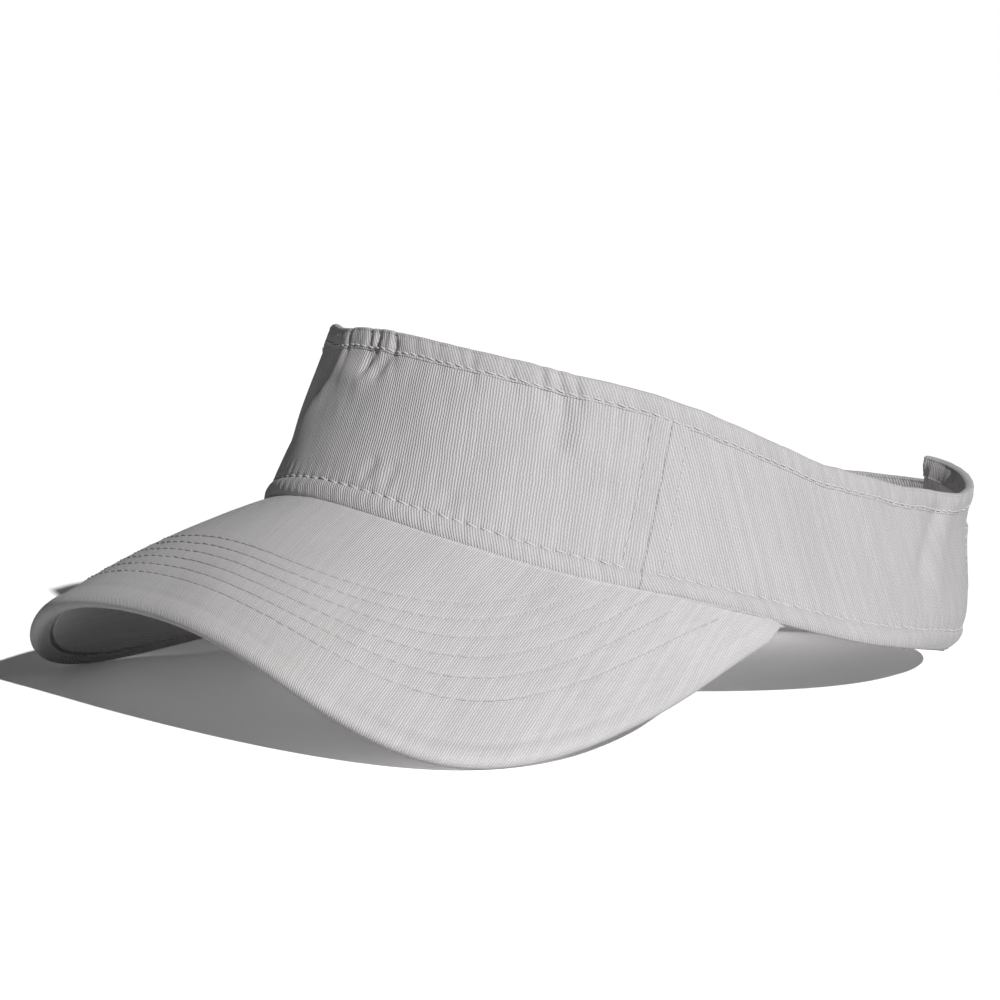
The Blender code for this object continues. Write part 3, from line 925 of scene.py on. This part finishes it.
class Look:
    """A material under construction, with short ways to add nodes."""

    def __init__(self, name):
        self.material = bpy.data.materials.new(name)
        self.material.use_nodes = True
        self.nodes = self.material.node_tree.nodes
        self.links = self.material.node_tree.links
        self.shader = self.nodes["Principled BSDF"]

    def put(self, value, socket):
        if isinstance(value, bpy.types.NodeSocket):
            self.links.new(value, socket)
        else:
            socket.default_value = value

    def node(self, kind, inputs=()):
        """A new node, with a value or a link for each named input."""
        made = self.nodes.new("ShaderNode" + kind)
        for name, value in dict(inputs).items():
            self.put(value, made.inputs[name])
        return made

    def maths(self, operation, *values):
        node = self.node("Math")
        node.operation = operation
        for value, socket in zip(values, node.inputs):
            self.put(value, socket)
        return node.outputs[0]

    def weave(self):
        """The weave coordinates: both together, along the cloth and up it."""
        node = self.node("UVMap")
        node.uv_map = "weave"
        split = self.node("SeparateXYZ", {"Vector": node.outputs[0]})
        return node.outputs[0], split.outputs[0], split.outputs[1]

    def noise(self, where, scale, detail=2.0):
        return self.node("TexNoise", {"Vector": where, "Scale": scale, "Detail": detail}).outputs[0]

    def stretched(self, u, v, across, along):
        """Weave coordinates on scales of their own."""
        scaled = {"X": self.maths("MULTIPLY", u, across), "Y": self.maths("MULTIPLY", v, along)}
        return self.node("CombineXYZ", scaled).outputs[0]

    def random(self, value):
        node = self.node("TexWhiteNoise")
        node.noise_dimensions = "1D"
        self.put(value, node.inputs["W"])
        return node.outputs["Value"]

    def wave(self, phase):
        """A cosine of one period per unit, from 0 to 1."""
        turned = self.maths("MULTIPLY", phase, 2 * math.pi)
        return self.maths("MULTIPLY_ADD", self.maths("COSINE", turned), 0.5, 0.5)

    def sum(self, constant, *terms):
        """constant plus each (factor, socket)."""
        total = constant
        for factor, socket in terms:
            total = self.maths("MULTIPLY_ADD", socket, factor, total)
        return total

    def tint(self, colour, amount):
        """The colour times amount, into the base colour."""
        node = self.node("VectorMath")
        node.operation = "SCALE"
        node.inputs[0].default_value = colour
        self.put(amount, node.inputs["Scale"])
        self.links.new(node.outputs[0], self.shader.inputs["Base Color"])

    def bump(self, level, distance, strength=1.0):
        node = self.node("Bump", {"Strength": strength, "Distance": distance, "Height": level})
        self.links.new(node.outputs[0], self.shader.inputs["Normal"])

    def painted_ridge_light_crease_shade(self):
        """Painted light on raised places and painted shade in creases: raised places lighter and creases
        darker.
        """
        point = self.node("NewGeometry").outputs["Pointiness"]
        return self.node("MapRange", {"Value": point, "From Min": 0.44, "From Max": 0.56}).outputs[0]

    def cloth(self, roughness, sheen):
        self.put(roughness, self.shader.inputs["Roughness"])
        self.put(0.2, self.shader.inputs["Specular IOR Level"])
        self.put(sheen, self.shader.inputs["Sheen Weight"])
        self.put(0.5, self.shader.inputs["Sheen Roughness"])


BAND_GREY = (0.55, 0.537, 0.539)
# The front panel's grey is the band's grey made a little lighter: painted light for a panel the key light
# grazes
FRONT_GREY_PAINTED_LIGHT = (0.578, 0.564, 0.566)
BRIM_GREY = (0.642, 0.627, 0.629)
# A lighter copy of the cloth's grey for the band's inner faces and the brim's underside: painted light for
# faces that lie in shade
INNER_GREY_PAINTED_LIGHT = (0.74, 0.725, 0.727)


def twill(name, degrees, colour=BAND_GREY, pitch=0.78, contrast=1.0, relief=0.00009):
    """Cotton twill, its ribs this many degrees from upright."""
    look = Look(name)
    where, u, v = look.weave()
    cos, sin = math.cos(math.radians(degrees)), math.sin(math.radians(degrees))
    slow = look.noise(where, 0.06)
    quick = look.noise(where, 0.55)
    rib_at = look.sum(0.0, (cos / pitch, u), (sin / pitch, v), (1.8, slow), (0.55, quick))
    rib = look.wave(rib_at)
    number = look.maths("FLOOR", look.maths("ADD", rib_at, 0.5))
    yarn_at = look.sum(0.0, (-sin / 1.1, u), (cos / 1.1, v), (0.41, number))
    yarn = look.maths("MULTIPLY", look.wave(yarn_at), rib)
    fibre = look.noise(where, 5.0, 3.0)
    grain = look.noise(where, 1.7, 1.0)
    blotch = look.noise(where, 0.05, 3.0)
    slub = look.noise(look.stretched(u, v, 1.1, 0.12), 1.0)
    each = look.random(number)
    tone = look.sum(
        0.635 - 0.13 * contrast,
        (0.22 * contrast, rib),
        (0.08 * contrast, yarn),
        (0.14, fibre),
        (0.22, grain),
        (0.14, blotch),
        (0.12, slub),
        (0.08, each),
        # the last term paints light onto ridges and shade into creases
        (0.08, look.painted_ridge_light_crease_shade()),
    )
    look.tint(colour, tone)
    level = look.sum(0.0, (0.7, rib), (0.35, yarn), (0.3, fibre))
    look.bump(level, relief)
    look.cloth(0.9, 0.15)
    return look.material


def thread_look(name, colour):
    """Twisted sewing thread."""
    look = Look(name)
    where, u, v = look.weave()
    ply = look.wave(look.sum(0.0, (2.2, u), (2.0, v)))
    fuzz = look.noise(where, 8.0)
    look.tint(colour, look.sum(0.72, (0.2, ply), (0.2, fuzz)))
    look.bump(look.sum(0.0, (1.0, ply), (0.4, fuzz)), 0.00006)
    look.cloth(0.65, 0.1)
    return look.material


def lining_look(name, colour, pitch=0.5):
    """Plain weave."""
    look = Look(name)
    where, u, v = look.weave()
    sway = look.noise(where, 0.3)
    warp = look.wave(look.sum(0.0, (1 / pitch, u), (0.5, sway)))
    weft = look.wave(look.sum(0.0, (1 / pitch, v), (0.5, sway)))
    fuzz = look.noise(where, 4.0, 3.0)
    level = look.maths("MAXIMUM", warp, weft)
    # the last term paints light onto ridges and shade into creases
    look.tint(colour, look.sum(0.7, (0.18, level), (0.2, fuzz), (0.08, look.painted_ridge_light_crease_shade())))
    look.bump(level, 0.00012, 0.7)
    look.cloth(0.92, 0.12)
    return look.material


def nap_look(name, colour, scale, depth):
    """The hooks or the loops of a fastening tape."""
    look = Look(name)
    where = look.weave()[0]
    tufts = look.node("TexVoronoi", {"Vector": where, "Scale": scale})
    fuzz = look.noise(where, scale * 2.5, 4.0)
    level = look.sum(1.0, (-1.0, tufts.outputs["Distance"]), (0.6, fuzz))
    look.tint(colour, look.sum(0.35, (0.45, level), (0.2, fuzz)))
    look.bump(level, depth)
    look.cloth(0.8, 0.4)
    return look.material


def board_look():
    """Moulded sheet inside the brim."""
    look = Look("board_sheet")
    grain = look.noise(look.weave()[0], 0.4, 4.0)
    look.tint((0.75, 0.75, 0.72), look.sum(0.9, (0.15, grain)))
    look.bump(grain, 0.0001)
    look.shader.inputs["Roughness"].default_value = 0.5
    return look.material


FLOOR_PALE = 0.75
FLOOR_WHITE = 2.1


def floor_look():
    """White to the camera where it is lit, and pale to the light that falls on it."""
    look = Look("pale_floor")
    grain = look.noise(look.node("TexCoord").outputs["Object"], 60.0, 3.0)
    seen = look.node("LightPath").outputs["Is Camera Ray"]
    level = look.maths("MULTIPLY_ADD", seen, FLOOR_WHITE - FLOOR_PALE, FLOOR_PALE)
    shade = look.maths("MULTIPLY", level, look.sum(0.99, (0.02, grain)))
    colour = look.node("CombineXYZ", {"X": shade, "Y": shade, "Z": shade})
    matt = look.node("BsdfDiffuse", {"Color": colour.outputs[0]})
    look.links.new(matt.outputs[0], look.nodes["Material Output"].inputs["Surface"])
    return look.material


# Assembly


def settle(piece, body, slot, *nodes):
    """Puts a piece on its body, or, where it spans the tab's hinge, bakes its place into its mesh and puts
    it on no body.
    """
    if body == "both":
        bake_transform(piece)
    else:
        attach(piece, body)
    if nodes:
        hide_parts(*nodes)
    return piece


def cut(name, held, *under):
    """Works out the area of a sheet's flat cut, which is how its weave coordinates lie, and keeps nothing
    of it.
    """
    piece = bpy.data.objects[name]
    flat = np.empty(len(piece.data.loops) * 2, np.float32)
    piece.data.uv_layers["weave"].data.foreach_get("uv", flat)
    quads = flat.reshape(-1, 4, 2) * 0.001
    size = np.ptp(quads.reshape(-1, 2), axis=0)
    one, two = quads[:, 2] - quads[:, 0], quads[:, 3] - quads[:, 1]
    area = np.abs(one[:, 0] * two[:, 1] - one[:, 1] * two[:, 0]).sum() / 4
    area = min(float(area), float(size.prod()))


def build_panels(look):
    near = SEAM - SEAM_GAP
    past = SEAM + SEAM_GAP
    for name, start, end, grain, body, nodes in (
        ("front_cloth", -near, near, "upright", "visor", ["front_panel"]),
        ("left_side_cloth", past, STRAP_END, "left", "visor", ["left_side_panel"]),
        ("right_side_cloth", TAB_END, -past, "right", "both", ["right_side_panel", "closure_tab"]),
    ):
        settle(band_panel(name, start, end, look[grain], look["reverse"]), body, "twill", *nodes)
        cut(name, "stretched")
    for name, start, end, body, node in (
        ("binding_cloth", -SEAM, STRAP_END + BINDING_OVER, "visor", "top_binding"),
        ("tab_binding_cloth", TAB_END - BINDING_OVER, -SEAM - 0.05, "both", "tab_binding"),
    ):
        settle(binding(name, start, end, look["bias"]), body, "trim", node)
    cut("binding_cloth", "folded", "front_cloth", "left_side_cloth")
    cut("tab_binding_cloth", "folded", "right_side_cloth")


def build_stitching(look):
    thread = look["thread"]

    def hem_up(s):
        return HEM_ROW + 0 * s

    def hem_out(s, v):
        return panel_face(s, v, height(angle_of(s))) + 0.26

    def bound_up(s):
        return height(angle_of(s)) - BINDING_HEIGHT + BINDING_ROW

    def bound_out(s, v):
        return 0.36 + drape(s, v) - PUCKER_SHARE * puckers(s, BINDING_HEIGHT - BINDING_ROW + 0 * s)

    for name, start, end, body, nodes in (
        ("front_hem_row", -SEAM + 1, SEAM - 1, "visor", ["front_hem_stitch"]),
        ("left_hem_row", SEAM + 1, STRAP_END - ROW_END, "visor", ["left_hem_stitch"]),
        ("right_hem_row", TAB_END + ROW_END, -SEAM - 1, "both", ["right_hem_stitch", "tab_hem_stitch"]),
    ):
        row = band_row(name, start, end, hem_up, hem_out, HEM_PITCH, HEM_STITCH, thread, 0.2)
        settle(row, body, "thread", *nodes)
    for name, start, end, body, node in (
        ("binding_row", -SEAM + 0.5, STRAP_END - ROW_END, "visor", "binding_stitch_row"),
        ("tab_binding_row", TAB_END + ROW_END, -SEAM - 0.5, "both", "tab_binding_stitch"),
    ):
        row = band_row(name, start, end, bound_up, bound_out, BINDING_PITCH, BINDING_STITCH, thread, 0.12)
        settle(row, body, "thread", node)
    for side, sign in (("left", 1), ("right", -1)):
        for end, offset in (("front", -SEAM_ROW_OFFSET), ("rear", SEAM_ROW_OFFSET)):
            row = seam_row(f"{side}_seam_row_{end}", sign * (SEAM + offset), thread)
            settle(row, "visor", "thread", f"{side}_seam_stitch_{end}")
    for row in range(ROW_COUNT):
        settle(brim_row(row, look["brim_thread"]), "visor", "thread", f"brim_stitch_row_{row + 1}")


# The layers inside the band, each clear of the next
LAYER_GAP = 0.25
LINING_THICK = 0.7
SWEAT_GAP = 0.3
SWEAT_THICK = 1.0
SWEAT_LOW = 1.0
NAP_THICK = 1.0
HOOK_STAND = 0.2


def below_binding(start, end):
    """The lining's upper edge, a little under the binding."""
    return height(angle_of(columns_of(start, end, STRIP_PITCH))) - BINDING_HEIGHT - 2


def build_inside(look):
    low = HEM_HEIGHT + 2
    face = -PANEL_THICK - LAYER_GAP
    back = face - LINING_THICK
    reach = SEAM - SEAM_ROW_OFFSET - 0.6
    high = below_binding(-reach, reach)
    lining = inner_strip("front_lining", -reach, reach, low, high, back, face, look["lining"])
    settle(lining, "visor", "lining", "front_interlining")
    cut("front_lining", "laid", "front_cloth")
    for side, sign in (("left", 1), ("right", -1)):
        start, end = sign * SEAM - SEAM_ROW_OFFSET, sign * SEAM + SEAM_ROW_OFFSET
        high = below_binding(start, end)
        tape = inner_strip(f"{side}_tape", start, end, low, high, back, face, look["lining"])
        settle(tape, "visor", "lining", f"{side}_seam_tape")
        cut(f"{side}_tape", "laid", "front_cloth")
    build_sweatband(back - SWEAT_GAP, look)


def build_sweatband(face, look):
    reach = float(arc_at(SWEATBAND_END))
    back = face - SWEAT_THICK
    high = SWEAT_LOW + SWEATBAND_HEIGHT
    sweat = inner_strip("sweat_cloth", -reach, reach, SWEAT_LOW, high, back, face, look["sweat"], 0.35)
    settle(sweat, "visor", "lining", "sweatband")
    cut("sweat_cloth", "laid", "front_cloth")

    def up(s):
        return SWEAT_ROW + 0 * s

    def out(s, v):
        return back - 0.1 + drape(s, v)

    start, end = -reach + 3, reach - 3
    row = band_row("sweat_row", start, end, up, out, SWEAT_PITCH, SWEAT_STITCH, look["thread"], inside=True)
    settle(row, "visor", "thread", "sweatband_stitch_row")


def nap_strip(name, start, end, face, back, look):
    """A fastening tape along the middle of the strap."""
    middle = height(angle_of(columns_of(start, end, STRIP_PITCH))) / 2
    low, high = middle - TAPE_HEIGHT / 2, middle + TAPE_HEIGHT / 2
    return inner_strip(name, start, end, low, high, face, back, look, 0.1)


def build_closure(look):
    back = -PANEL_THICK - LAYER_GAP
    loop = nap_strip("loop_nap", TAB_END + 2, TAB_START - 2, back - NAP_THICK, back, look["loops"])
    settle(loop, "tab", "hook_and_loop", "loop_tape")
    start = float(arc_at(angle_at(STRAP_END_X + ROW_END + HOOK_LENGTH)))
    end = STRAP_END - ROW_END
    hook = nap_strip("hook_nap", start, end, HOOK_STAND + NAP_THICK, HOOK_STAND, look["hooks"])
    settle(hook, "visor", "hook_and_loop", "hook_tape")


def build_brim(look):
    settle(brim_top(look["brim"]), "visor", "twill", "brim_top_cover")
    settle(brim_under(look["under"]), "visor", "twill", "brim_under_cover")
    settle(brim_board(look["board"]), "visor", "board", "brim_board")
    cut("brim_top_cloth", "stretched", "board_sheet")
    cut("brim_under_cloth", "stretched", "board_sheet")


def build_looks():
    return {
        "upright": twill("twill_front", 4, FRONT_GREY_PAINTED_LIGHT, contrast=1.35, relief=0.00016),
        "left": twill("twill_left", 28, contrast=1.4),
        "right": twill("twill_right", -28, contrast=1.4),
        "bias": twill("twill_bias", 32),
        # the inner faces and the brim's underside take the lighter grey, which is painted light
        "reverse": twill("twill_reverse", -30, INNER_GREY_PAINTED_LIGHT, 0.78, 0.6, 0.00005),
        "brim": twill("twill_brim", -23, BRIM_GREY, 0.59, 1.1, 0.00014),
        "under": twill("twill_under", -23, INNER_GREY_PAINTED_LIGHT, 0.59, 1.1),
        "board": board_look(),
        "thread": thread_look("thread", (0.82, 0.8, 0.803)),
        "brim_thread": thread_look("brim_thread", (0.65, 0.635, 0.637)),
        "lining": lining_look("plain_lining", (0.7, 0.685, 0.686)),
        "sweat": lining_look("sweatband_cloth", (0.68, 0.672, 0.673), 0.6),
        "hooks": nap_look("hook_nap", (0.6, 0.6, 0.6), 1.1, 0.0006),
        "loops": nap_look("loop_nap", (0.64, 0.64, 0.64), 1.6, 0.0004),
    }


# Stage, light and camera

CAMERA_TURN = math.radians(51.442)
CAMERA_RISE = math.radians(6.912)
CAMERA_ROLL = 0.026
CAMERA_FAR = 1061.704
CAMERA_AIM = np.array([-19.78, -8.005, 48.73])
LENS = 137.9
FLOOR_HALF = 9
FILL = 0.03
# A hard key light from the visor's left and a weak low light from behind it
KEY_FROM = (0.8766, -0.1357, 0.4617)
KEY_POWER = 3.12
KEY_DEGREES = 0.9
REAR_FROM = (-0.68, 0.733, 0.022)
REAR_POWER = 1.3
REAR_DEGREES = 3


def build_stage():
    far = FLOOR_HALF
    mesh = bpy.data.meshes.new("floor")
    mesh.from_pydata([(-far, -far, 0), (far, -far, 0), (far, far, 0), (-far, far, 0)], [], [(0, 1, 2, 3)])
    mesh.materials.append(floor_look())
    floor = bpy.data.objects.new("floor", mesh)
    bpy.context.scene.collection.objects.link(floor)


def build_world():
    world = bpy.data.worlds.new("studio")
    bpy.context.scene.world = world
    world.use_nodes = True
    nodes, links = world.node_tree.nodes, world.node_tree.links
    fill, white = nodes["Background"], nodes.new("ShaderNodeBackground")
    for shade, strength in ((fill, FILL), (white, 1.0)):
        shade.inputs["Color"].default_value = (1, 1, 1, 1)
        shade.inputs["Strength"].default_value = strength
    path = nodes.new("ShaderNodeLightPath")
    mix = nodes.new("ShaderNodeMixShader")
    links.new(path.outputs["Is Camera Ray"], mix.inputs[0])
    links.new(fill.outputs[0], mix.inputs[1])
    links.new(white.outputs[0], mix.inputs[2])
    links.new(mix.outputs[0], nodes["World Output"].inputs["Surface"])


def add_light(name, source, energy, degrees):
    """A distant light from this direction, as wide as this many degrees."""
    light = bpy.data.lights.new(name, "SUN")
    light.energy = energy
    light.angle = math.radians(degrees)
    made = bpy.data.objects.new(name, light)
    made.rotation_euler = Vector(source).to_track_quat("Z", "Y").to_euler()
    bpy.context.scene.collection.objects.link(made)


def build_camera():
    a, e = CAMERA_TURN, CAMERA_RISE
    back = np.array([math.sin(a) * math.cos(e), -math.cos(a) * math.cos(e), math.sin(e)])
    right = np.array([math.cos(a), math.sin(a), 0])
    up = np.cross(back, right)
    cos, sin = math.cos(CAMERA_ROLL), math.sin(CAMERA_ROLL)
    right, up = cos * right + sin * up, cos * up - sin * right
    data = bpy.data.cameras.new("camera")
    data.lens = LENS
    data.sensor_width = 36
    data.clip_end = 100
    camera = bpy.data.objects.new("camera", data)
    spot = (CAMERA_AIM + CAMERA_FAR * back) * 0.001
    columns = np.stack([right, up, back, spot], -1)
    camera.matrix_world = Matrix(columns.tolist() + [[0, 0, 0, 1]])
    bpy.context.scene.collection.objects.link(camera)
    bpy.context.scene.camera = camera


looks = build_looks()
build_brim(looks)
build_panels(looks)
build_inside(looks)
build_stitching(looks)
build_closure(looks)
build_stage()
build_world()
add_light("key", KEY_FROM, KEY_POWER, KEY_DEGREES)
add_light("rear", REAR_FROM, REAR_POWER, REAR_DEGREES)
build_camera()
bpy.context.scene.view_settings.view_transform = "Standard"
